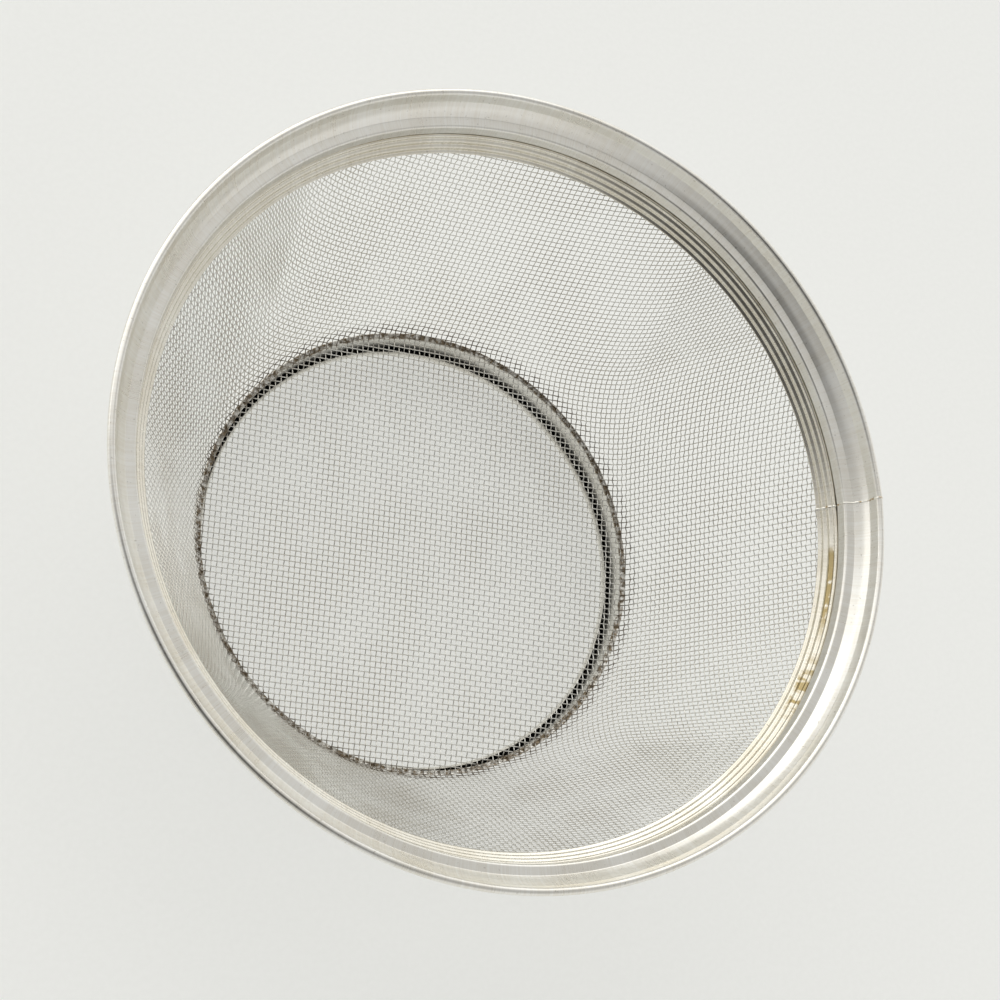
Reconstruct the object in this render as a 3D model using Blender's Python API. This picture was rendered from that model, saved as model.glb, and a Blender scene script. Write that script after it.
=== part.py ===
"""Hand soil sieve: a drawn woven-wire basket gripped in a roll-formed steel rim, on a rolled foot ring.

Metres, +Z up. The sieve stands on z = 0 with its axis on Z and its mouth up. The wires of the
cloth run along X and Y. Every steel ring is one strip of sheet, so each is drawn as the line
through the middle of the sheet, given its thickness, and turned about Z.
"""
import math

import bmesh
import bpy
from mathutils import Vector

# Overall sizes
RIM_RADIUS = 0.1500          # outermost radius of the rolled bead
HEIGHT = 0.1217              # top of the bead above the ground
FOOT_RADIUS = 0.0900         # outer radius of the foot ring
FOOT_HEIGHT = 0.0140         # foot ring, ground to its top edge under the cloth

# Stock
SHEET = 0.0006               # steel strip
CLOTH = 0.0008               # woven cloth, over both layers of wire
CLEARANCE = 0.0003           # left between any two pieces that touch

# Rim section, from the bead inwards
BEAD_RADIUS = 0.00145        # outer radius of the rolled bead
BEAD_OPENING_DEG = -75.0     # where the rolled edge stops, so that the bead stays open underneath
NECK_DEG = 164.0             # where the bead runs into the neck
NECK_IN = 0.0021             # foot of the neck, inboard of the bead's centre
NECK_DOWN = 0.0031           # foot of the neck, below the bead's centre
NECK_BEND = 0.0025           # bend between neck and flange
FLANGE_RUN = 0.00415         # sloping flange, measured inwards
FLANGE_DROP = 0.00505        # sloping flange, measured downwards
FLANGE_SAG = 0.00035         # hollow of the flange below a straight slope
FLANGE_BEND = 0.0150         # how softly it is hollowed
LEDGE_RUN = 0.0038           # nearly flat ledge inside the flange
LEDGE_DROP = 0.0003
COLLAR_RUN = 0.00075         # short wall under the ledge
COLLAR_DROP = 0.0036
BEND_RADIUS = 0.0008         # bends between those faces

# Clamp ring, which traps the cloth against the rim
CLAMP_TILT = math.radians(33.9)   # slope of the trapped band, from the vertical
CLAMP_LENGTH = 0.0077        # its width along the slope
CLAMP_STEP_IN = 0.00085      # its top edge, inboard of the collar's foot
CLAMP_STEP_DOWN = 0.0009
RIDGE = 0.00025              # half the height of its rolled ridges
RIDGE_COUNT = 3              # full waves across its width
CLOTH_TUCK = 0.0012          # cloth's edge, short of the clamp's top edge

# Basket
CORNER_OUT = 0.00135         # floor corner, outboard of the foot ring
CORNER_RADIUS = 0.0034       # bend between floor and wall

# Foot ring
FOOT_CURL_RADIUS = 0.0019    # rolled edge that stands on the ground
FOOT_CURL_END_DEG = -235.0   # where it stops, leaving an open gutter inside the ring
FOOT_FLAT = 0.0013           # width that is flattened by standing

# Butt welds across the strips
SEAM_ANGLE = math.radians(5.6)
SEAM_RADIUS = 0.1420         # where the widths below are true
WELD_WIDTH = 0.0007
WELD_PROUD = 0.0001          # rim weld, above each face of the sheet
BURR = 0.00025               # clamp weld, above the inner face

SEGMENTS = 60                # facets round a full turn

STEEL = (0.62, 0.60, 0.56, 1.0)
WIRE_STEEL = (0.50, 0.48, 0.44, 1.0)
WELD_STEEL = (0.70, 0.67, 0.60, 1.0)


# ---------------------------------------------------------------- geometry in the (radius, height) plane

def arc(centre, radius, start_deg, end_deg, steps):
    """Points on an arc, both ends included."""
    points = []
    for i in range(steps + 1):
        angle = math.radians(start_deg + (end_deg - start_deg) * i / steps)
        points.append(centre + radius * Vector((math.cos(angle), math.sin(angle))))
    return points


def rounded(corners):
    """A polyline with each (point, radius, steps) corner turned into an arc."""
    points = [corners[0][0]]
    for before, here, after in zip(corners, corners[1:], corners[2:]):
        corner, radius, steps = here
        to_before = (before[0] - corner).normalized()
        to_after = (after[0] - corner).normalized()
        if radius <= 0.0 or to_before.dot(to_after) < -0.9999:
            points.append(corner)
            continue
        half = 0.5 * to_before.angle(to_after)
        setback = radius / math.tan(half)
        centre = corner + (to_before + to_after).normalized() * (radius / math.sin(half))
        first = corner + to_before * setback - centre
        last = corner + to_after * setback - centre
        turn = math.atan2(first.x * last.y - first.y * last.x, first.dot(last))
        for i in range(steps + 1):
            a = turn * i / steps
            points.append(centre + Vector((first.x * math.cos(a) - first.y * math.sin(a),
                                           first.x * math.sin(a) + first.y * math.cos(a))))
    points.append(corners[-1][0])
    return points


def offset(path, distance):
    """The path moved sideways, to the left of its direction, with mitred corners."""
    moved = []
    for i, point in enumerate(path):
        before = (point - path[i - 1]).normalized() if i > 0 else None
        after = (path[i + 1] - point).normalized() if i + 1 < len(path) else None
        a = before or after
        b = after or before
        normal_a = Vector((-a.y, a.x))
        normal_b = Vector((-b.y, b.x))
        mitre = (normal_a + normal_b).normalized()
        moved.append(point + mitre * (distance / mitre.dot(normal_a)))
    return moved


def clamp_axes():
    """Directions of the trapped band: down its slope, and square to it away from the bowl."""
    down = Vector((-math.sin(CLAMP_TILT), -math.cos(CLAMP_TILT)))
    out = Vector((math.cos(CLAMP_TILT), -math.sin(CLAMP_TILT)))
    return down, out


def rim_corners():
    """Middle of the rim's sheet: bead centre, neck foot, flange foot, ledge edge and collar foot."""
    bead = Vector((RIM_RADIUS - BEAD_RADIUS, HEIGHT - BEAD_RADIUS))
    neck_foot = bead + Vector((-NECK_IN, -NECK_DOWN))
    flange_foot = neck_foot + Vector((-FLANGE_RUN, -FLANGE_DROP))
    ledge_edge = flange_foot + Vector((-LEDGE_RUN, -LEDGE_DROP))
    collar_foot = ledge_edge + Vector((-COLLAR_RUN, -COLLAR_DROP))
    return bead, neck_foot, flange_foot, ledge_edge, collar_foot


def clamp_top():
    """Crest of the clamp ring's top ridge."""
    return rim_corners()[4] + Vector((-CLAMP_STEP_IN, -CLAMP_STEP_DOWN))


def stack():
    """Depths of the clamp, cloth and rim mid-surfaces behind the clamp's crests."""
    clamp = RIDGE + SHEET / 2
    cloth = 2 * RIDGE + SHEET + CLEARANCE + CLOTH / 2
    rim = cloth + CLOTH / 2 + CLEARANCE + SHEET / 2
    return clamp, cloth, rim


def rim_path():
    bead, neck_foot, flange_foot, ledge_edge, collar_foot = rim_corners()
    down, out = clamp_axes()
    behind = clamp_top() + out * stack()[2]
    curl = arc(bead, BEAD_RADIUS - SHEET / 2, BEAD_OPENING_DEG, NECK_DEG, 9)
    slope = (flange_foot - neck_foot).normalized()
    hollow = (neck_foot + flange_foot) / 2 + Vector((-slope.y, slope.x)) * FLANGE_SAG
    formed = rounded([
        (curl[-1], 0.0, 0),
        (neck_foot, NECK_BEND, 2),
        (hollow, FLANGE_BEND, 2),
        (flange_foot, BEND_RADIUS, 2),
        (ledge_edge, BEND_RADIUS, 2),
        (collar_foot, BEND_RADIUS / 2, 2),
        (behind, BEND_RADIUS / 2, 1),
        (behind + down * CLAMP_LENGTH, 0.0, 0),
    ])
    return curl + formed[1:]


def clamp_path():
    down, out = clamp_axes()
    depth = stack()[0]
    steps = 4 * RIDGE_COUNT
    points = []
    for i in range(steps + 1):
        wave = -RIDGE * math.cos(2 * math.pi * RIDGE_COUNT * i / steps)
        points.append(clamp_top() + down * (CLAMP_LENGTH * i / steps) + out * (depth + wave))
    return points


def cloth_path():
    down, out = clamp_axes()
    floor = FOOT_HEIGHT + CLEARANCE + CLOTH / 2
    trapped = clamp_top() + out * stack()[1]
    return rounded([
        (Vector((0.0, floor)), 0.0, 0),
        (Vector((FOOT_RADIUS + CORNER_OUT, floor)), CORNER_RADIUS, 3),
        (trapped + down * CLAMP_LENGTH, 0.0, 0),
        (trapped + down * CLOTH_TUCK, 0.0, 0),
    ])


def foot_path():
    wall = FOOT_RADIUS - SHEET / 2
    centre = Vector((FOOT_RADIUS - FOOT_CURL_RADIUS, FOOT_CURL_RADIUS))
    radius = FOOT_CURL_RADIUS - SHEET / 2
    standing = [centre + Vector((side * FOOT_FLAT / 2, SHEET / 2 - centre.y)) for side in (1, -1)]
    return ([Vector((wall, FOOT_HEIGHT))]
            + arc(centre, radius, 0.0, -50.0, 2) + standing
            + arc(centre, radius, -130.0, FOOT_CURL_END_DEG, 4))


# ---------------------------------------------------------------- solids of revolution

def ring_angles():
    """Facet edges round a closed ring, one of them on the seam."""
    return [SEAM_ANGLE + 2 * math.pi * i / SEGMENTS for i in range(SEGMENTS)]


def strip_angles():
    """Facet edges round a strip whose ends stop short of the weld."""
    half = (WELD_WIDTH / 2 + CLEARANCE) / SEAM_RADIUS
    inner = ring_angles()[1:]
    return [SEAM_ANGLE + half] + inner + [SEAM_ANGLE + 2 * math.pi - half]


def weld_angles():
    half = WELD_WIDTH / 2 / SEAM_RADIUS
    return [SEAM_ANGLE - half, SEAM_ANGLE + half]


def turned(name, path, inner, outer, angles, closed, colour, roughness):
    """Give a path thickness to its left (outer) and right (inner), turn it about Z, and close it."""
    left = offset(path, outer)
    right = offset(path, -inner)
    outline = left + right[::-1]
    bm = bmesh.new()
    poles = {}
    columns = []
    for angle in angles:
        column = []
        for index, point in enumerate(outline):
            if abs(point.x) < 1e-7:
                if index not in poles:
                    poles[index] = bm.verts.new((0.0, 0.0, point.y))
                column.append(poles[index])
            else:
                column.append(bm.verts.new((point.x * math.cos(angle),
                                            point.x * math.sin(angle), point.y)))
        columns.append(column)
    count = len(outline)
    pairs = list(zip(columns, columns[1:]))
    if closed:
        pairs.append((columns[-1], columns[0]))
    for here, there in pairs:
        for i in range(count):
            j = (i + 1) % count
            corners = []
            for vert in (here[i], there[i], there[j], here[j]):
                if vert not in corners:
                    corners.append(vert)
            if len(corners) > 2:
                bm.faces.new(corners)
    if not closed:
        for column in (columns[0], columns[-1]):
            for i in range(len(left) - 1):
                bm.faces.new((column[i], column[i + 1], column[count - 2 - i], column[count - 1 - i]))
    bmesh.ops.recalc_face_normals(bm, faces=bm.faces)
    mesh = bpy.data.meshes.new(name)
    bm.to_mesh(mesh)
    bm.free()
    mesh.shade_smooth()
    mesh.set_sharp_from_angle(angle=math.radians(38.0))
    mesh.materials.append(steel(name, colour, roughness))
    obj = bpy.data.objects.new(name, mesh)
    bpy.context.scene.collection.objects.link(obj)
    return obj


def steel(name, colour, roughness):
    material = bpy.data.materials.new(name)
    material.use_nodes = True
    shader = material.node_tree.nodes["Principled BSDF"]
    shader.inputs["Base Color"].default_value = colour
    shader.inputs["Metallic"].default_value = 1.0
    shader.inputs["Roughness"].default_value = roughness
    return material


# ---------------------------------------------------------------- pieces

def rim_frame():
    """Rolled bead, flange, ledge and collar, one strip with its ends at the seam."""
    turned("rim_frame", rim_path(), SHEET / 2, SHEET / 2, strip_angles(), False, STEEL, 0.28)


def rim_weld():
    """Butt weld that closes the rim strip."""
    half = SHEET / 2 + WELD_PROUD
    turned("rim_weld", rim_path(), half, half, weld_angles(), False, WELD_STEEL, 0.35)


def clamp_ring():
    """Ridged strip inside the cloth's edge, with its ends at the seam."""
    turned("clamp_ring", clamp_path(), SHEET / 2, SHEET / 2, strip_angles(), False, STEEL, 0.25)


def clamp_weld():
    """Butt weld that closes the clamp strip, with a burr on the bowl's side."""
    turned("clamp_weld", clamp_path(), SHEET / 2 + BURR, SHEET / 2 + WELD_PROUD / 2,
           weld_angles(), False, WELD_STEEL, 0.45)


def mesh_basket():
    """Woven cloth, drawn in one piece: flat floor, bend, tapered wall and trapped edge."""
    turned("mesh_basket", cloth_path(), CLOTH / 2, CLOTH / 2, ring_angles(), True, WIRE_STEEL, 0.4)


def foot_ring():
    """Band under the floor's edge, its lower edge rolled inwards into an open gutter."""
    turned("foot_ring", foot_path(), SHEET / 2, SHEET / 2, ring_angles(), True, STEEL, 0.3)


def main():
    for obj in list(bpy.data.objects):
        bpy.data.objects.remove(obj, do_unlink=True)
    rim_frame()
    rim_weld()
    clamp_ring()
    clamp_weld()
    mesh_basket()
    foot_ring()


main()
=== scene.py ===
"""The look of the soil sieve: woven wires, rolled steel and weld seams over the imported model.

Metres, +Z up, in the same frame as the part.
"""
import math

import bpy
import numpy as np
from mathutils import Matrix, Vector, noise


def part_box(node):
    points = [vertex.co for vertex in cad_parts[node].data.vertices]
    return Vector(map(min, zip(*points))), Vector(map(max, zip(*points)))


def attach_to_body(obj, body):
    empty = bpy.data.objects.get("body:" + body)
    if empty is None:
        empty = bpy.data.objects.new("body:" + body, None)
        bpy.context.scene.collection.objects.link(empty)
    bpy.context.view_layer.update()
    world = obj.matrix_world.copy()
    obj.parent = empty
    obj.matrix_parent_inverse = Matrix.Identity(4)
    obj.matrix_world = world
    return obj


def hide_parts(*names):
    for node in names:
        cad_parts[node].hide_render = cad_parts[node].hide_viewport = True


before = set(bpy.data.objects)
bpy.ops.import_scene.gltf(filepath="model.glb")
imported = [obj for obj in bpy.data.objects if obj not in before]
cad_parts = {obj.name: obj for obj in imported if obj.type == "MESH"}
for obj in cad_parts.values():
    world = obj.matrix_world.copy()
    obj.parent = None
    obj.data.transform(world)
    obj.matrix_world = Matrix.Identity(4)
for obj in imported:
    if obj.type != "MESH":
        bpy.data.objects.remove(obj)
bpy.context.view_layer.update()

# ---------------------------------------------------------------- sizes, as in the part


def reach(node):
    """Largest radius of a CAD node."""
    return max(math.hypot(v.co.x, v.co.y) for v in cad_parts[node].data.vertices)


RIM_RADIUS = reach("rim_frame")
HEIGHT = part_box("rim_frame")[1][2]
FOOT_RADIUS = reach("foot_ring")
FOOT_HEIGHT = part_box("foot_ring")[1][2]

SHEET = 0.0006
CLOTH = 0.0008
CLEARANCE = 0.0003

BEAD_RADIUS = 0.00145
BEAD_OPENING_DEG = -75.0
NECK_DEG = 164.0
NECK_IN = 0.0021
NECK_DOWN = 0.0031
NECK_BEND = 0.0025
FLANGE_RUN = 0.00415
FLANGE_DROP = 0.00505
FLANGE_SAG = 0.00035
FLANGE_BEND = 0.0150
LEDGE_RUN = 0.0038
LEDGE_DROP = 0.0003
COLLAR_RUN = 0.00075
COLLAR_DROP = 0.0036
BEND_RADIUS = 0.0008

CLAMP_TILT = math.radians(33.9)
CLAMP_LENGTH = 0.0077
CLAMP_STEP_IN = 0.00085
CLAMP_STEP_DOWN = 0.0009
RIDGE = 0.00025
RIDGE_COUNT = 3
CLOTH_TUCK = 0.0012

CORNER_OUT = 0.00135
CORNER_RADIUS = 0.0034

FOOT_CURL_RADIUS = 0.0019
FOOT_CURL_END_DEG = -235.0
FOOT_FLAT = 0.0013

SEAM_ANGLE = math.radians(5.6)
SEAM_RADIUS = 0.142          # radius at which lengths round the rim are measured

# ---------------------------------------------------------------- sizes that the part leaves out

CLAMP_RETURN = 0.0006        # how far the clamp ring's top edge is turned back
CLAMP_TURN = 0.0005          # bend of that edge
LIP_OUT = 0.0014             # the foot ring's narrow lip, which the cloth is welded to
LIP_UP = 0.00035
LIP_BEND = 0.0015
LIP_CREASE = 0.0004

PITCH = 0.00222              # spacing of the wires, both ways
WIRE = 0.00042               # their thickness
CRIMP = (0.15, 0.85)         # share of the weave's waviness in the wires along X and along Y
WIRE_PARTS = 3               # straight bits from one crossing to the next
WIRE_SIDES = 6
PIECE_TRIANGLES = 150000     # a new piece of cloth starts beyond these
NET_TRIES = 61               # first guesses for a crossing's place
NET_STEPS = 40               # most steps to settle it
NET_CLOSE = 1e-9             # a step this short has settled it
NET_FLAT = 1e-16             # a smaller determinant means that it can't be settled
NET_APART = 0.3              # opposite corners of a mesh stay this many pitches apart
TURN = 360                   # facets round a ring
EDGE_ROUND = 0.28            # how far a strip's edge bulges, as a share of its thickness
MILLIMETRES = 1000.0         # in a metre
BEAD_STEP = 0.00015          # spacing of the points along a weld
BEAD_ACROSS = 11             # points across it
BEAD_DRIFT = 0.00012         # how far a weld strays sideways
BEAD_BEDDED = 0.00003        # how deep its edges lie in the sheet
BEAD_LUMPS = (0.9, 3.7)      # coarse and fine lumps in a millimetre, about
BEAD_BENDS = 0.6             # and bends
BEAD_FINE = 0.35             # height of the fine lumps, as a share of the coarse ones'

# how far the strips stray from true: long waves and short ones, then the kink beside the weld
RIM_OUT = (0.00010, 0.00003, 0.00022)
RIM_UP = (0.00008, 0.00002, 0.00010)
CLAMP_OUT = (0.00007, 0.00002, -0.00012)
CLAMP_UP = 0.00006
FOOT_OUT = 0.00010
RIM_KINK_REACH = 0.006
CLAMP_KINK_REACH = 0.005

# where heat or soot has coloured the steel
TINT_HEIGHT = HEIGHT - 0.0162                                # middle of the clamp ring's heat tint
SCORCH_DEPTH = (0.0012, 0.0004)                              # down from the foot ring's top
CORNER_IN = (FOOT_RADIUS - 0.0020, FOOT_RADIUS - 0.0007)     # the cloth's browned bend, from within
CORNER_UP = (FOOT_HEIGHT + 0.0040, FOOT_HEIGHT + 0.0065)     # and upwards


# ---------------------------------------------------------------- profiles in the (radius, height) plane

def arc(centre, radius, start_deg, end_deg, steps):
    points = []
    for i in range(steps + 1):
        angle = math.radians(start_deg + (end_deg - start_deg) * i / steps)
        points.append(centre + radius * Vector((math.cos(angle), math.sin(angle))))
    return points


def rounded(corners):
    """A polyline with each (point, radius, steps) corner turned into an arc."""
    points = [corners[0][0]]
    for before, here, after in zip(corners, corners[1:], corners[2:]):
        corner, radius, steps = here
        to_before = (before[0] - corner).normalized()
        to_after = (after[0] - corner).normalized()
        if radius <= 0.0 or to_before.dot(to_after) < -0.9999:
            points.append(corner)
            continue
        half = 0.5 * to_before.angle(to_after)
        setback = radius / math.tan(half)
        centre = corner + (to_before + to_after).normalized() * (radius / math.sin(half))
        first = corner + to_before * setback - centre
        last = corner + to_after * setback - centre
        turn = math.atan2(first.x * last.y - first.y * last.x, first.dot(last))
        for i in range(steps + 1):
            a = turn * i / steps
            points.append(centre + Vector((first.x * math.cos(a) - first.y * math.sin(a),
                                           first.x * math.sin(a) + first.y * math.cos(a))))
    points.append(corners[-1][0])
    return points


def guarded(path, guard=0.00012, longest=0.0011):
    """The path with extra points near its bends and along its flats, so that flats shade flat."""
    points = [path[0]]
    for a, b in zip(path, path[1:]):
        length = (b - a).length
        if length > 3 * guard:
            direction = (b - a) / length
            inner = length - 2 * guard
            count = max(1, math.ceil(inner / longest))
            for i in range(count + 1):
                points.append(a + direction * (guard + inner * i / count))
        points.append(b)
    return points


def offset(path, distance):
    """The path moved sideways, to the left of its direction, with mitred corners."""
    moved = []
    for i, point in enumerate(path):
        before = (point - path[i - 1]).normalized() if i > 0 else None
        after = (path[i + 1] - point).normalized() if i + 1 < len(path) else None
        a = before or after
        b = after or before
        normal_a = Vector((-a.y, a.x))
        normal_b = Vector((-b.y, b.x))
        mitre = (normal_a + normal_b).normalized()
        moved.append(point + mitre * (distance / mitre.dot(normal_a)))
    return moved


def clamp_axes():
    down = Vector((-math.sin(CLAMP_TILT), -math.cos(CLAMP_TILT)))
    out = Vector((math.cos(CLAMP_TILT), -math.sin(CLAMP_TILT)))
    return down, out


def rim_corners():
    bead = Vector((RIM_RADIUS - BEAD_RADIUS, HEIGHT - BEAD_RADIUS))
    neck_foot = bead + Vector((-NECK_IN, -NECK_DOWN))
    flange_foot = neck_foot + Vector((-FLANGE_RUN, -FLANGE_DROP))
    ledge_edge = flange_foot + Vector((-LEDGE_RUN, -LEDGE_DROP))
    collar_foot = ledge_edge + Vector((-COLLAR_RUN, -COLLAR_DROP))
    return bead, neck_foot, flange_foot, ledge_edge, collar_foot


def clamp_top():
    return rim_corners()[4] + Vector((-CLAMP_STEP_IN, -CLAMP_STEP_DOWN))


def stack():
    clamp = RIDGE + SHEET / 2
    cloth = 2 * RIDGE + SHEET + CLEARANCE + CLOTH / 2
    rim = cloth + CLOTH / 2 + CLEARANCE + SHEET / 2
    return clamp, cloth, rim


def rim_path():
    bead, neck_foot, flange_foot, ledge_edge, collar_foot = rim_corners()
    down, out = clamp_axes()
    behind = clamp_top() + out * stack()[2]
    curl = arc(bead, BEAD_RADIUS - SHEET / 2, BEAD_OPENING_DEG, NECK_DEG, 32)
    slope = (flange_foot - neck_foot).normalized()
    hollow = (neck_foot + flange_foot) / 2 + Vector((-slope.y, slope.x)) * FLANGE_SAG
    formed = rounded([
        (curl[-1], 0.0, 0),
        (neck_foot, NECK_BEND, 8),
        (hollow, FLANGE_BEND, 10),
        (flange_foot, BEND_RADIUS, 8),
        (ledge_edge, BEND_RADIUS, 8),
        (collar_foot, BEND_RADIUS / 2, 6),
        (behind, BEND_RADIUS / 2, 5),
        (behind + down * CLAMP_LENGTH, 0.0, 0),
    ])
    return guarded(curl + formed[1:])


def clamp_path():
    """As in the part, but with the top edge turned back over the cloth's hidden edge."""
    down, out = clamp_axes()
    depth = stack()[0]
    steps = 16 * RIDGE_COUNT
    points = []
    for i in range(steps + 1):
        wave = -RIDGE * math.cos(2 * math.pi * RIDGE_COUNT * i / steps)
        points.append(clamp_top() + down * (CLAMP_LENGTH * i / steps) + out * (depth + wave))
    back = clamp_top() + out * (depth + CLAMP_RETURN)
    spared = 5
    turned_back = rounded([(back, 0.0, 0), (points[0], CLAMP_TURN, 8), (points[spared], 0.0, 0)])
    return turned_back[:-1] + points[spared:]


def cloth_path():
    down, out = clamp_axes()
    floor = FOOT_HEIGHT + CLEARANCE + CLOTH / 2
    trapped = clamp_top() + out * stack()[1]
    return rounded([
        (Vector((0.0, floor)), 0.0, 0),
        (Vector((FOOT_RADIUS + CORNER_OUT, floor)), CORNER_RADIUS, 24),
        (trapped + down * CLAMP_LENGTH, 0.0, 0),
        (trapped + down * CLOTH_TUCK, 0.0, 0),
    ])


def foot_path():
    """As in the part, but with the top edge turned out in a narrow lip under the bend of the cloth."""
    wall = FOOT_RADIUS - SHEET / 2
    top = FOOT_HEIGHT - SHEET / 2
    centre = Vector((FOOT_RADIUS - FOOT_CURL_RADIUS, FOOT_CURL_RADIUS))
    radius = FOOT_CURL_RADIUS - SHEET / 2
    lip = rounded([
        (Vector((FOOT_RADIUS + LIP_OUT, top + LIP_UP)), 0.0, 0),
        (Vector((FOOT_RADIUS + LIP_OUT / 3, top)), LIP_BEND, 5),
        (Vector((wall, top)), LIP_CREASE, 5),
        (centre + Vector((radius, 0.0)), 0.0, 0),
    ])[:-1]
    standing = [centre + Vector((side * FOOT_FLAT / 2, SHEET / 2 - centre.y)) for side in (1, -1)]
    return guarded(lip + arc(centre, radius, 0.0, -60.0, 8) + standing
                   + arc(centre, radius, -120.0, FOOT_CURL_END_DEG, 14))


# ---------------------------------------------------------------- meshes

def mesh_object(name, verts, faces, material):
    """A smooth mesh piece. Faces is an array whose rows are faces, or a list of such arrays."""
    if isinstance(faces, np.ndarray):
        faces = [faces]
    mesh = bpy.data.meshes.new(name)
    mesh.vertices.add(len(verts))
    mesh.vertices.foreach_set("co", np.asarray(verts, dtype=np.float32).ravel())
    corners = np.concatenate([f.ravel() for f in faces]).astype(np.int32)
    sizes = np.concatenate([np.full(len(f), f.shape[1], dtype=np.int32) for f in faces])
    mesh.loops.add(len(corners))
    mesh.loops.foreach_set("vertex_index", corners)
    mesh.polygons.add(len(sizes))
    starts = np.concatenate([[0], np.cumsum(sizes)[:-1]]).astype(np.int32)
    mesh.polygons.foreach_set("loop_start", starts)
    mesh.update(calc_edges=True)
    mesh.validate()
    mesh.shade_smooth()
    mesh.materials.append(material)
    obj = bpy.data.objects.new(name, mesh)
    bpy.context.scene.collection.objects.link(obj)
    return obj


def hand(x, y, z):
    """Smooth unevenness, about -1 to 1, the same on every run."""
    return noise.noise(Vector((x, y, z)))


def outline_of(path):
    """Closed outline of a strip with rounded edges, and the point of the path behind each point."""
    nose = SHEET * EDGE_ROUND
    first = (path[0] - path[1]).normalized() * nose
    last = (path[-1] - path[-2]).normalized() * nose
    left = offset(path, SHEET / 2)
    right = offset(path, -SHEET / 2)
    outline = left + [path[-1] + last] + right[::-1] + [path[0] + first]
    return outline, path + [path[-1]] + path[::-1] + [path[0]]


def grid_faces(rows, columns, close_rows, close_columns):
    """Quads over vertices numbered row by row, joined from last to first where asked."""
    i, k = np.meshgrid(np.arange(rows - (not close_rows)),
                       np.arange(columns - (not close_columns)), indexing="ij")
    j, l = (i + 1) % rows, (k + 1) % columns
    corners = (i * columns + k, j * columns + k, j * columns + l, i * columns + l)
    return np.stack(corners, axis=-1).reshape(-1, 4)


def turned(name, path, material, wobble):
    """A strip of sheet with rounded edges, turned about Z, its outer side to the left of the path."""
    outline, middle = outline_of(path)
    verts = np.empty((TURN, len(outline), 3))
    for t in range(TURN):
        angle = SEAM_ANGLE + 2 * math.pi * t / TURN
        for i, (point, spine) in enumerate(zip(outline, middle)):
            dr, dz = wobble(angle, spine)
            r = point.x + dr
            verts[t, i] = (r * math.cos(angle), r * math.sin(angle), point.y + dz)
    faces = grid_faces(TURN, len(outline), True, True)[:, [0, 3, 2, 1]]
    return mesh_object(name, verts.reshape(-1, 3), faces, material)


def from_seam(angle):
    """Signed distance round the rim from the seam, in metres, anticlockwise from above."""
    return math.remainder(angle - SEAM_ANGLE, 2 * math.pi) * SEAM_RADIUS


def waves(angle, often, seed):
    """Unevenness round a ring. The higher `often` is, the shorter the waves are."""
    return hand(often * math.cos(angle), often * math.sin(angle), seed)


def rim_wobble(angle, point):
    """Sheet that was rolled and welded: faint waves, and a slight kink on each side of the seam."""
    deep = point.y * 60.0
    kink = math.exp(-abs(from_seam(angle)) / RIM_KINK_REACH)
    dr = RIM_OUT[0] * waves(angle, 3.1, deep) + RIM_OUT[1] * waves(angle, 14.0, deep + 7.0)
    dz = RIM_UP[0] * waves(angle, 3.7, deep + 3.0) + RIM_UP[1] * waves(angle, 17.0, deep + 9.0)
    return dr + RIM_OUT[2] * kink, dz + RIM_UP[2] * kink


def clamp_wobble(angle, point):
    kink = math.exp(-abs(from_seam(angle)) / CLAMP_KINK_REACH)
    dr = CLAMP_OUT[0] * waves(angle, 4.3, 20.0) + CLAMP_OUT[1] * waves(angle, 30.0, 21.0)
    return dr + CLAMP_OUT[2] * kink, CLAMP_UP * waves(angle, 5.0, 23.0)


def foot_wobble(angle, point):
    return FOOT_OUT * waves(angle, 2.6, 40.0 + point.y * 30.0), 0.0


def finer(outline, middle, step):
    """The same closed outline and its spine with points no farther apart than a step."""
    run, spine = [], []
    for i, a in enumerate(outline):
        after = (i + 1) % len(outline)
        b = outline[after]
        pieces = max(1, math.ceil((b - a).length / step))
        for k in range(pieces):
            run.append(a.lerp(b, k / pieces))
            spine.append(middle[i].lerp(middle[after], k / pieces))
    return run, spine


def seam_bead(name, path, material, wobble, width, proud, lumps, seed):
    """A weld across a strip, run round the strip's section: a low, uneven ridge bedded in the sheet."""
    run, spine = finer(*outline_of(path), BEAD_STEP)
    count = len(run)
    verts = np.empty((count, BEAD_ACROSS, 3))
    travelled = 0.0
    for i in range(count):
        tangent = (run[(i + 1) % count] - run[i - 1]).normalized()
        normal = Vector((-tangent.y, tangent.x))
        if normal.dot(run[i] - spine[i]) < 0.0:
            normal = -normal
        travelled += (run[i] - run[i - 1]).length * MILLIMETRES
        coarse = hand(travelled * BEAD_LUMPS[0], seed, 1.0)
        fine = hand(travelled * BEAD_LUMPS[1], seed, 5.0)
        swell = 1.0 + lumps * coarse + BEAD_FINE * lumps * fine
        drift = BEAD_DRIFT * hand(travelled * BEAD_BENDS, seed, 3.0)
        for k in range(BEAD_ACROSS):
            u = -1.0 + 2.0 * k / (BEAD_ACROSS - 1)
            angle = SEAM_ANGLE + (drift + u * 0.5 * width * max(0.5, swell)) / SEAM_RADIUS
            dr, dz = wobble(angle, spine[i])
            height = proud * max(0.3, swell) * (1.0 - u * u) ** 0.7 - BEAD_BEDDED * abs(u) ** 3
            place = run[i] + normal * height
            r = place.x + dr
            verts[i, k] = (r * math.cos(angle), r * math.sin(angle), place.y + dz)
    faces = grid_faces(count, BEAD_ACROSS, True, False)
    return mesh_object(name, verts.reshape(-1, 3), faces, material)


# ---------------------------------------------------------------- woven cloth

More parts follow.
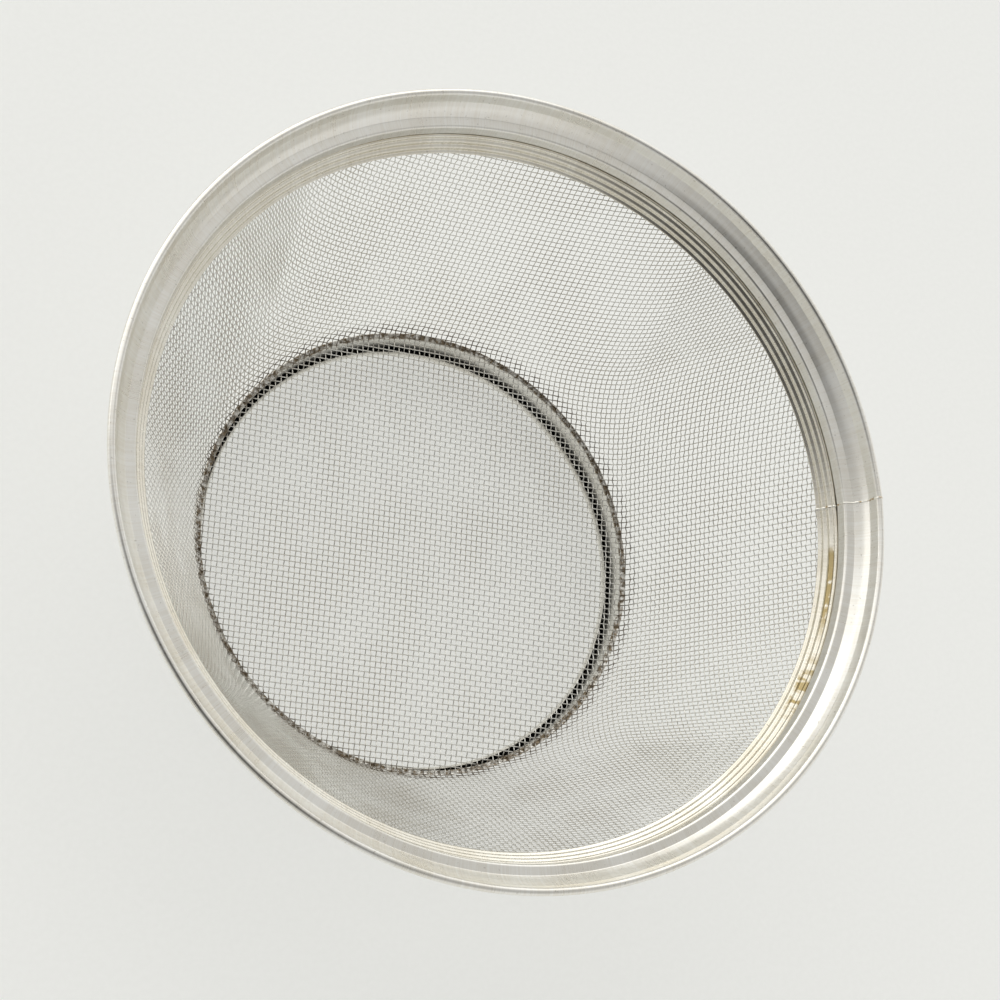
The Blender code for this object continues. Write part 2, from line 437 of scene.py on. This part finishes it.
class Skin:
    """The cloth's middle surface, as a profile by arc length and its outward normal."""

    def __init__(self):
        points = np.array([(p.x, p.y) for p in cloth_path()])
        self.points = points
        steps = np.linalg.norm(np.diff(points, axis=0), axis=1)
        self.length = np.concatenate([[0.0], np.cumsum(steps)])
        self.end = self.length[-1]

    def at(self, s):
        return np.interp(s, self.length, self.points[:, 0]), np.interp(s, self.length, self.points[:, 1])

    def slope(self, s):
        step = 2e-5
        r1, z1 = self.at(s + step)
        r0, z0 = self.at(s - step)
        return (r1 - r0) / (2 * step), (z1 - z0) / (2 * step)

    def place(self, s, angle):
        r, z = self.at(s)
        return np.array([r * math.cos(angle), r * math.sin(angle), z])

    def normal(self, s, angle):
        """Towards the inside of the bowl."""
        dr, dz = self.slope(s)
        size = np.hypot(dr, dz)
        return np.stack([-dz / size * np.cos(angle), -dz / size * np.sin(angle), dr / size], axis=-1)


def settled(skin, before, beside, here, angle):
    """The point on the skin one pitch from two others, by Newton's method, or None if there isn't one."""
    for _ in range(NET_STEPS):
        point = skin.place(here, angle)
        to_before, to_beside = point - before, point - beside
        f = to_before @ to_before - PITCH ** 2
        g = to_beside @ to_beside - PITCH ** 2
        dr, dz = skin.slope(here)
        radius = skin.at(here)[0]
        along = np.array([dr * math.cos(angle), dr * math.sin(angle), dz])
        aside = np.array([-radius * math.sin(angle), radius * math.cos(angle), 0.0])
        a11, a12 = 2 * to_before @ along, 2 * to_before @ aside
        a21, a22 = 2 * to_beside @ along, 2 * to_beside @ aside
        det = a11 * a22 - a12 * a21
        if abs(det) < NET_FLAT:
            return None
        move = np.array([(-f * a22 + g * a12) / det, (f * a21 - g * a11) / det])
        size = math.hypot(move[0], move[1] * radius)
        if size > PITCH:
            move *= PITCH / size
        here += move[0]
        angle += move[1]
        if size < NET_CLOSE:
            return here, angle
    return None


def drape(skin):
    """Crossings of the net in one quadrant: a square net of pin-jointed wires laid over the skin.

    Each new crossing lies on the skin, one pitch from the two crossings before it, which is how
    woven wire shears when it is drawn into a bowl.
    """
    count = int(skin.end / PITCH) + 2
    s = np.full((count + 1, count + 1), np.nan)
    a = np.full((count + 1, count + 1), np.nan)
    for i in range(count + 1):
        if i * PITCH <= skin.end:
            s[i, 0] = s[0, i] = i * PITCH
            a[i, 0], a[0, i] = 0.0, math.pi / 2
    for i in range(1, count + 1):
        for j in range(1, count + 1):
            if math.isnan(s[i - 1, j]) or math.isnan(s[i, j - 1]):
                continue
            before = skin.place(s[i - 1, j], a[i - 1, j])
            beside = skin.place(s[i, j - 1], a[i, j - 1])
            across = skin.place(s[i - 1, j - 1], a[i - 1, j - 1])
            guess = before + beside - across
            farther = max(s[i - 1, j], s[i, j - 1])
            tries = np.linspace(farther - PITCH, farther + 2 * PITCH, NET_TRIES)
            r, z = skin.at(tries)
            here = tries[np.argmin((r - np.hypot(guess[0], guess[1])) ** 2 + (z - guess[2]) ** 2)]
            found = settled(skin, before, beside, here, math.atan2(guess[1], guess[0]))
            if found is None or found[0] > skin.end:
                continue
            if np.linalg.norm(skin.place(*found) - across) > NET_APART * PITCH:
                s[i, j], a[i, j] = found
    return s, a


def whole_net(s, a):
    """The quadrant turned into all four: crossings by index, from -count to count both ways."""
    count = len(s) - 1
    whole_s = np.full((2 * count + 1, 2 * count + 1), np.nan)
    whole_a = np.full_like(whole_s, np.nan)
    for i in range(count + 1):
        for j in range(count + 1):
            if math.isnan(s[i, j]):
                continue
            x, y = i, j
            for quarter in range(4):
                whole_s[count + x, count + y] = s[i, j]
                whole_a[count + x, count + y] = a[i, j] + quarter * math.pi / 2
                x, y = -y, x
    return whole_s, whole_a


def wire_runs(whole_s, whole_a):
    """Unbroken wires of one family: (row, crossings along it, their arc lengths, their angles)."""
    count = (len(whole_s) - 1) // 2
    runs = []
    for row in range(2 * count + 1):
        line_s, line_a = whole_s[:, row], whole_a[:, row]
        good = np.flatnonzero(~np.isnan(line_s))
        if len(good) < 2:
            continue
        for stretch in np.split(good, np.flatnonzero(np.diff(good) > 1) + 1):
            if len(stretch) < 2:
                continue
            runs.append((row, stretch, line_s[stretch], line_a[stretch]))
    return runs


def tube(points, normals, sides, radius):
    """Vertices, quads and end faces of a round tube along points."""
    tangent = np.gradient(points, axis=0)
    tangent /= np.linalg.norm(tangent, axis=1)[:, None]
    side = np.cross(tangent, normals)
    side /= np.linalg.norm(side, axis=1)[:, None]
    up = np.cross(side, tangent)
    turn = 2 * math.pi * np.arange(sides) / sides
    ring = (np.cos(turn)[None, :, None] * up[:, None, :]
            + np.sin(turn)[None, :, None] * side[:, None, :])
    verts = points[:, None, :] + radius * ring
    quads = grid_faces(len(points), sides, False, True)[:, [0, 3, 2, 1]]
    ends = np.array([np.arange(sides)[::-1], (len(points) - 1) * sides + np.arange(sides)])
    return verts.reshape(-1, 3), quads, ends


def smooth_run(place, normal, parts):
    """A smooth curve through crossings, in equal parts from each to the next, with its normals."""
    fine = np.arange((len(place) - 1) * parts + 1) / parts
    low = np.clip(np.floor(fine).astype(int), 0, len(place) - 2)
    t = (fine - low)[:, None]
    tangent = np.gradient(place, axis=0)
    p0, p1, m0, m1 = place[low], place[low + 1], tangent[low], tangent[low + 1]
    points = ((2 * t ** 3 - 3 * t ** 2 + 1) * p0 + (t ** 3 - 2 * t ** 2 + t) * m0
              + (-2 * t ** 3 + 3 * t ** 2) * p1 + (t ** 3 - t ** 2) * m1)
    normals = normal[low] * (1 - t) + normal[low + 1] * t
    normals /= np.linalg.norm(normals, axis=1)[:, None]
    return fine, points, normals


def bundle_object(name, bundle, material):
    """One piece from many wires, each given as its vertices, quads and ends."""
    starts = np.cumsum([0] + [len(verts) for verts, _, _ in bundle])
    verts = np.concatenate([verts for verts, _, _ in bundle])
    quads = np.concatenate([quads + start for (_, quads, _), start in zip(bundle, starts)])
    ends = np.concatenate([ends + start for (_, _, ends), start in zip(bundle, starts)])
    return mesh_object(name, verts, [quads, ends], material)


def weave(material):
    """Every wire of the cloth, crimped over and under its neighbours, in pieces of a handy size."""
    skin = Skin()
    net_s, net_a = whole_net(*drape(skin))
    pieces = []
    for family, label in enumerate(("weft", "warp")):
        bundle, size, number = [], 0, 1
        runs = wire_runs(net_s, net_a) if family == 0 else wire_runs(net_s.T, net_a.T)
        for index, (row, stretch, line_s, line_a) in enumerate(runs):
            angle = np.unwrap(line_a)
            radius, height = skin.at(line_s)
            place = np.stack([radius * np.cos(angle), radius * np.sin(angle), height], axis=-1)
            fine, points, normals = smooth_run(place, skin.normal(line_s, angle), WIRE_PARTS)
            parity = (stretch[0] + row) % 2
            over = 1.0 if (parity == 0) == (family == 0) else -1.0
            wave = over * np.cos(math.pi * fine)[:, None]
            points = points + normals * (WIRE * CRIMP[family]) * wave
            bundle.append(tube(points, normals, WIRE_SIDES, WIRE / 2))
            size += 2 * len(bundle[-1][1])
            if size > PIECE_TRIANGLES or index == len(runs) - 1:
                pieces.append(bundle_object(f"cloth_{label}_{number}", bundle, material))
                bundle, size, number = [], 0, number + 1
    return pieces


# ---------------------------------------------------------------- materials

class Graph:
    """A node tree with short calls: each adds a node, sets or links its inputs, and gives its output."""

    def __init__(self, owner):
        owner.use_nodes = True
        self.owner = owner
        self.tree = owner.node_tree
        self.tree.nodes.clear()

    def add(self, kind, output=0, inputs=(), **settings):
        made = self.tree.nodes.new(kind)
        for key, value in settings.items():
            setattr(made, key, value)
        for key, value in dict(inputs).items():
            socket = made.inputs[key]
            if isinstance(value, bpy.types.NodeSocket):
                self.tree.links.new(value, socket)
            else:
                socket.default_value = value
        return made.outputs[output] if len(made.outputs) else None

    def maths(self, operation, a, b=0.0):
        return self.add("ShaderNodeMath", inputs={0: a, 1: b}, operation=operation)

    def ramp(self, value, low, high, out_low=0.0, out_high=1.0):
        return self.add("ShaderNodeMapRange", interpolation_type="SMOOTHSTEP",
                        inputs={0: value, 1: low, 2: high, 3: out_low, 4: out_high})

    def window(self, angle, rise, fall, height=1.0):
        """Rises over one pair of angles and falls over another, all in degrees."""
        up = self.ramp(angle, math.radians(rise[0]), math.radians(rise[1]))
        down = self.ramp(angle, math.radians(fall[0]), math.radians(fall[1]), height, 0.0)
        return self.maths("MULTIPLY", up, down)

    def noise(self, vector, scale, detail=2.0, roughness=0.5, distortion=0.0):
        return self.add("ShaderNodeTexNoise",
                        inputs={"Vector": vector, "Scale": scale, "Detail": detail,
                                "Roughness": roughness, "Distortion": distortion})

    def stretched(self, place, scales, detail, roughness):
        """Noise with its own scale along each of three coordinates."""
        scaled = [self.maths("MULTIPLY", value, scale) for value, scale in zip(place, scales)]
        return self.noise(self.add("ShaderNodeCombineXYZ", inputs=dict(enumerate(scaled))),
                          1.0, detail, roughness)

    def mix(self, factor, a, b):
        return self.add("ShaderNodeMix", output=2, data_type="RGBA", inputs={0: factor, 6: a, 7: b})

    def place(self):
        return self.add("ShaderNodeTexCoord", output=3)

    def polar(self):
        """Radius, angle and height of the point on the object."""
        x, y, z = self.split(self.place())
        return self.length(x, y), self.maths("ARCTAN2", y, x), z

    def split(self, vector):
        return self.add("ShaderNodeSeparateXYZ", inputs={0: vector}).node.outputs

    def length(self, x, y):
        return self.maths("SQRT", self.maths("ADD", self.maths("MULTIPLY", x, x),
                                             self.maths("MULTIPLY", y, y)))

    def bump(self, height, strength, distance):
        return self.add("ShaderNodeBump",
                        inputs={"Strength": strength, "Distance": distance, "Height": height})

    def surface(self, **settings):
        """End the tree in one shader, with its settings by socket name, and give the material."""
        shader = self.add("ShaderNodeBsdfPrincipled",
                          inputs={key.replace("_", " "): value for key, value in settings.items()})
        self.add("ShaderNodeOutputMaterial", inputs={"Surface": shader})
        return self.owner

    def steel(self, colour, roughness, bump):
        return self.surface(Base_Color=colour, Metallic=1.0, Roughness=roughness, Normal=bump)


def rgb(r, g, b):
    """A colour given as it looks on screen, 0 to 255, in the linear values that a shader takes."""
    linear = [c / 12.92 if c <= 0.04045 else ((c + 0.055) / 1.055) ** 2.4
              for c in (r / 255, g / 255, b / 255)]
    return (*linear, 1.0)


TARNISH = rgb(110, 98, 80)
HEAT_TINT = rgb(160, 138, 78)
SCORCH = rgb(112, 92, 60)
# near-black painted shade for the hollow inside the foot ring's curl
CURL_SHADE = rgb(34, 31, 27)
WIRE_LIGHT = rgb(230, 229, 224)
WIRE_DARK = rgb(214, 211, 203)
WIRE_TARNISH = rgb(186, 178, 164)
WIRE_BURN = rgb(88, 70, 44)
WELD_BRIGHT = rgb(246, 244, 236)
WELD_OXIDE = rgb(176, 152, 114)
PAPER = ((0.487, 0.490, 0.474, 1.0), (0.494, 0.497, 0.481, 1.0))    # linear, as it glows


def heat_tinted(g, colour, polar, cloud):
    """Heat tint clockwise of the weld: a wedge that points at it, upright marks, and haze over both."""
    radius, angle, height = polar
    around = g.maths("MULTIPLY", angle, SEAM_RADIUS)
    middle = g.maths("ABSOLUTE", g.maths("SUBTRACT", height, TINT_HEIGHT))
    edge = g.stretched((around, height, radius), scales=(260.0, 700.0, 1.0), detail=3.0, roughness=0.6)
    marks = g.stretched((around, height, radius), scales=(230.0, 90.0, 1.0), detail=3.0, roughness=0.55)
    ragged = g.maths("ADD", middle, g.maths("MULTIPLY", edge, -0.0010))
    wedge = g.maths("MULTIPLY", g.window(angle, (-20, -12), (-2.5, -0.5)),
                    g.ramp(ragged, 0.0001, 0.0008, 1.0, 0.0))
    wedge = g.maths("MULTIPLY", wedge, g.ramp(edge, 0.28, 0.46))
    ragged = g.maths("ADD", middle, g.maths("MULTIPLY", edge, -0.0020))
    patch = g.maths("MULTIPLY", g.window(angle, (-34, -29), (-23, -19)), g.ramp(marks, 0.34, 0.48))
    patch = g.maths("MULTIPLY", patch, g.ramp(ragged, 0.0004, 0.0016, 1.0, 0.0))
    haze = g.maths("MULTIPLY", g.window(angle, (-50, -44), (-4, 0), 0.28), g.ramp(cloud, 0.40, 0.62))
    tint = g.maths("MAXIMUM", g.maths("MAXIMUM", wedge, patch), haze)
    return g.mix(g.maths("MULTIPLY", tint, 0.85), colour, HEAT_TINT)


def scorched(g, colour, height):
    """The foot ring's top edge, which was welded to the cloth, is browned in spots."""
    spots = g.ramp(g.noise(g.place(), scale=420.0, detail=2.0, roughness=0.5), 0.40, 0.58)
    edge = g.ramp(height, FOOT_HEIGHT - SCORCH_DEPTH[0], FOOT_HEIGHT - SCORCH_DEPTH[1])
    return g.mix(g.maths("MULTIPLY", g.maths("MULTIPLY", edge, spots), 0.88), colour, SCORCH)


def painted_curl_shade(g, colour, radius, height, speck):
    """Painted shade: near-black inside the foot ring's rolled edge, the hollow of the curl that no light
    reaches.
    """
    dr = g.maths("SUBTRACT", radius, FOOT_RADIUS - FOOT_CURL_RADIUS)
    dz = g.maths("SUBTRACT", height, FOOT_CURL_RADIUS)
    away = g.maths("ADD", g.length(dr, dz), g.maths("MULTIPLY", speck, 0.0001))
    inside = FOOT_CURL_RADIUS - SHEET / 2
    painted_shade = g.ramp(away, inside, inside + 0.0001, 1.0, 0.0)
    return g.mix(g.maths("MULTIPLY", painted_shade, 0.93), colour, CURL_SHADE)


def sheet_steel(name, light, dark, rough, grain, tinted=False, scorch_and_painted_shade=False):
    """Bright strip: fine polishing marks straight across it, cloudy tarnish, small scuffs and pits."""
    g = Graph(bpy.data.materials.new(name))
    radius, angle, height = g.polar()
    place = g.place()
    round_it = (g.maths("MULTIPLY", angle, SEAM_RADIUS), radius, height)
    # the polishing wheel crossed the strip, so its marks run from edge to edge
    lines = g.stretched(round_it, scales=(1500.0, 45.0, 45.0), detail=3.0, roughness=0.65)
    scuff = g.stretched(round_it, scales=(1400.0, 500.0, 500.0), detail=4.0, roughness=0.65)
    cloud = g.noise(place, scale=38.0, detail=4.0, roughness=0.6, distortion=0.4)
    speck = g.noise(place, scale=900.0, detail=2.0, roughness=0.5)
    tone = g.maths("ADD", g.maths("MULTIPLY", cloud, 0.55), g.maths("MULTIPLY", lines, 0.45))
    colour = g.mix(g.ramp(tone, 0.34, 0.66), dark, light)
    pits = g.ramp(speck, 0.66, 0.74)
    colour = g.mix(g.maths("MULTIPLY", pits, 0.30), colour, TARNISH)
    if tinted:
        colour = heat_tinted(g, colour, (radius, angle, height), cloud)
    # the foot ring's top edge is browned in spots, and the inside of its curl is painted near-black as
    # shade
    if scorch_and_painted_shade:
        colour = scorched(g, colour, height)
        colour = painted_curl_shade(g, colour, radius, height, speck)
    roughness = g.maths("ADD", g.maths("MULTIPLY", lines, 0.10), g.maths("MULTIPLY", cloud, 0.14))
    roughness = g.maths("ADD", roughness, rough - 0.12)
    relief = g.maths("ADD", g.maths("MULTIPLY", lines, 0.8), g.maths("MULTIPLY", scuff, 0.2))
    return g.steel(colour, roughness, g.bump(relief, strength=grain, distance=0.00004))


def wire_steel(name):
    """Drawn wire: bright, with patches of tarnish, and browned where the cloth bends."""
    g = Graph(bpy.data.materials.new(name))
    place = g.place()
    patches = g.noise(place, scale=26.0, detail=3.0, roughness=0.55, distortion=0.3)
    fine = g.noise(place, scale=700.0, detail=2.0, roughness=0.5)
    colour = g.mix(g.ramp(patches, 0.35, 0.62), WIRE_DARK, WIRE_LIGHT)
    colour = g.mix(g.maths("MULTIPLY", g.ramp(fine, 0.52, 0.70), 0.20), colour, WIRE_TARNISH)
    # the bend between floor and wall is browned by the heat that fixed the foot ring
    radius, _, height = g.polar()
    corner = g.maths("MULTIPLY", g.ramp(radius, *CORNER_IN), g.ramp(height, *CORNER_UP, 1.0, 0.0))
    blotch = g.ramp(g.noise(place, scale=330.0, detail=3.0, roughness=0.6), 0.38, 0.58)
    burnt = g.maths("MULTIPLY", corner, g.maths("ADD", g.maths("MULTIPLY", blotch, 0.65), 0.20))
    colour = g.mix(burnt, colour, WIRE_BURN)
    roughness = g.maths("ADD", g.maths("MULTIPLY", fine, 0.10), 0.10)
    roughness = g.maths("ADD", roughness, g.maths("MULTIPLY", burnt, 0.25))
    return g.steel(colour, roughness, g.bump(fine, strength=0.25, distance=0.00002))


def weld_steel(name):
    """Weld metal: lumpy and bright, with straw and brown oxide between the lumps."""
    g = Graph(bpy.data.materials.new(name))
    place = g.place()
    lumps = g.noise(place, scale=1500.0, detail=3.0, roughness=0.6)
    oxide = g.noise(place, scale=420.0, detail=2.0, roughness=0.5)
    colour = g.mix(g.ramp(oxide, 0.48, 0.64), WELD_BRIGHT, WELD_OXIDE)
    roughness = g.maths("ADD", g.maths("MULTIPLY", lumps, 0.25), 0.22)
    return g.steel(colour, roughness, g.bump(lumps, strength=0.6, distance=0.00006))


def paper(name):
    """Pale matt paper that glows a little, so that it stays even."""
    g = Graph(bpy.data.materials.new(name))
    fibre = g.noise(g.place(), scale=420.0, detail=2.0, roughness=0.5)
    colour = g.mix(g.ramp(fibre, 0.3, 0.7), *PAPER)
    return g.surface(Base_Color=colour, Roughness=0.9, Specular_IOR_Level=0.1,
                     Emission_Color=colour, Emission_Strength=1.0)


# ---------------------------------------------------------------- pieces

def attach(obj, node):
    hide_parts(node)
    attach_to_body(obj, "root")
    return obj


def build():
    rim = sheet_steel("rim_steel_look", light=rgb(244, 243, 238), dark=rgb(232, 228, 218),
                      rough=0.30, grain=0.16)
    clamp = sheet_steel("clamp_steel_look", light=rgb(241, 238, 228), dark=rgb(227, 221, 206),
                        rough=0.24, grain=0.20, tinted=True)
    # the foot ring gets browned spots at its top edge and painted shade inside its curl
    foot = sheet_steel("foot_steel_look", light=rgb(244, 242, 236), dark=rgb(228, 225, 217),
                       rough=0.34, grain=0.5, scorch_and_painted_shade=True)
    weld = weld_steel("weld_look")
    wire = wire_steel("wire_look")

    shell = turned("rim_shell", rim_path(), rim, rim_wobble)
    attach(shell, "rim_frame")
    seam = seam_bead("rim_seam", rim_path(), weld, rim_wobble,
                     width=0.0008, proud=0.00015, lumps=0.5, seed=11.0)
    attach(seam, "rim_weld")
    strip = turned("clamp_strip", clamp_path(), clamp, clamp_wobble)
    attach(strip, "clamp_ring")
    seam = seam_bead("clamp_seam", clamp_path(), weld, clamp_wobble,
                     width=0.0011, proud=0.00022, lumps=0.9, seed=29.0)
    attach(seam, "clamp_weld")
    band = turned("foot_band", foot_path(), foot, foot_wobble)
    attach(band, "foot_ring")
    for piece in weave(wire):
        attach(piece, "mesh_basket")


# ---------------------------------------------------------------- studio

WALL = 0.92                  # brightness of the pale paper walls
CEILING = 0.52
CEILING_FROM = 0.85          # height on the unit sphere above which the ceiling is even
WHITE = (1.0, 0.995, 0.975)
LAMP_COLOUR = (1.0, 0.99, 0.97)
LAMP_FROM = Vector((0.0, 0.0, 0.06))
LAMP_AIM = Vector((0.0, 0.0, 0.05))
FLOOR_REACH = 12.0

# azimuth, elevation, inner and outer angle in degrees, and how many times as bright as the rest
PATCHES = [
    (-138, 62, 16, 42, 0.12),
    (-138, -3, 9, 34, 0.30),
    (-104, -3, 9, 34, 0.55),
    (-172, 18, 10, 26, 0.70),
    (108, 42, 16, 46, 2.4),
    (56, 12, 14, 42, 1.3),
]


def direction(azimuth, elevation):
    """Unit vector at that azimuth (degrees from +X) and height above the horizon."""
    a, e = math.radians(azimuth), math.radians(elevation)
    return Vector((math.cos(a) * math.cos(e), math.sin(a) * math.cos(e), math.sin(e)))


def surroundings():
    """Pale paper walls all round, a dimmer ceiling, and brighter and darker patches in them."""
    world = bpy.data.worlds.new("studio")
    bpy.context.scene.world = world
    g = Graph(world)
    where = g.add("ShaderNodeTexCoord")
    level = g.ramp(g.split(where)[2], 0.0, CEILING_FROM, WALL, CEILING)
    for azimuth, elevation, inner, outer, factor in PATCHES:
        toward = direction(azimuth, elevation)[:]
        dot = g.add("ShaderNodeVectorMath", output=1, operation="DOT_PRODUCT",
                    inputs={0: where, 1: toward})
        lobe = g.ramp(dot, math.cos(math.radians(outer)), math.cos(math.radians(inner)))
        shade = g.add("ShaderNodeMapRange", inputs={0: lobe, 3: 1.0, 4: factor})
        level = g.maths("MULTIPLY", level, shade)
    colour = g.add("ShaderNodeVectorMath", operation="SCALE", inputs={0: WHITE, "Scale": level})
    back = g.add("ShaderNodeBackground", inputs={"Color": colour})
    g.add("ShaderNodeOutputWorld", inputs={"Surface": back})


def softbox(name, place, width, length, power):
    light = bpy.data.lights.new(name, "AREA")
    light.shape = "RECTANGLE"
    light.size = width
    light.size_y = length
    light.energy = power
    light.color = LAMP_COLOUR
    lamp = bpy.data.objects.new(name, light)
    lamp.location = place
    lamp.rotation_euler = (LAMP_AIM - place).to_track_quat("-Z", "Y").to_euler()
    bpy.context.scene.collection.objects.link(lamp)


def studio():
    far = FLOOR_REACH
    corners = np.array([(-far, -far, 0.0), (far, -far, 0.0), (far, far, 0.0), (-far, far, 0.0)])
    floor = mesh_object("studio_floor", corners, np.array([[0, 1, 2, 3]]), paper("studio_paper"))
    surroundings()
    softbox("key", direction(138, 8) * 1.7 + LAMP_FROM, width=2.0, length=0.50, power=3.0)
    bpy.context.scene.view_settings.view_transform = "Standard"


# ---------------------------------------------------------------- camera

TILT = 0.4888                # radians between the sieve's axis and the line of sight
LEAN = -0.6215               # radians from the picture's right, downwards, to where that axis points
ROLL = math.radians(41.5)    # how far the sieve is turned about its own axis
DISTANCE = 0.78764           # to the rim's middle, along the line of sight
FOCAL = 2.2                  # in widths of the picture
MIDDLE = (0.52221, 0.47337)  # where the rim's middle shows, in widths from the top left


def camera():
    """A long lens, high over the bowl and a little to its right, rolled as the sieve lies in the view."""
    # the sieve's own axes as the lens sees them: to the right, down and away
    c, s = math.cos(TILT), math.sin(TILT)
    steep = Vector((c * math.cos(LEAN), c * math.sin(LEAN), s))
    level = Vector((-math.sin(LEAN), math.cos(LEAN), 0.0))
    x = math.cos(ROLL) * steep + math.sin(ROLL) * level
    y = math.sin(ROLL) * steep - math.cos(ROLL) * level
    z = Vector((s * math.cos(LEAN), s * math.sin(LEAN), -c))
    to_rim = Vector(((MIDDLE[0] - 0.5) / FOCAL, (MIDDLE[1] - 0.5) / FOCAL, 1.0)) * DISTANCE
    rim_middle = Vector((0.0, 0.0, HEIGHT - BEAD_RADIUS))
    where = rim_middle - Vector((to_rim.dot(x), to_rim.dot(y), to_rim.dot(z)))
    right = Vector((x.x, y.x, z.x))
    up = -Vector((x.y, y.y, z.y))
    back = -Vector((x.z, y.z, z.z))
    data = bpy.data.cameras.new("camera")
    data.sensor_width = 36.0
    data.lens = FOCAL * data.sensor_width
    data.clip_start = 0.01
    data.clip_end = 50.0
    lens = bpy.data.objects.new("camera", data)
    lens.matrix_world = Matrix.Translation(where) @ Matrix((right, up, back)).transposed().to_4x4()
    bpy.context.scene.collection.objects.link(lens)
    bpy.context.scene.camera = lens


camera()
studio()
build()
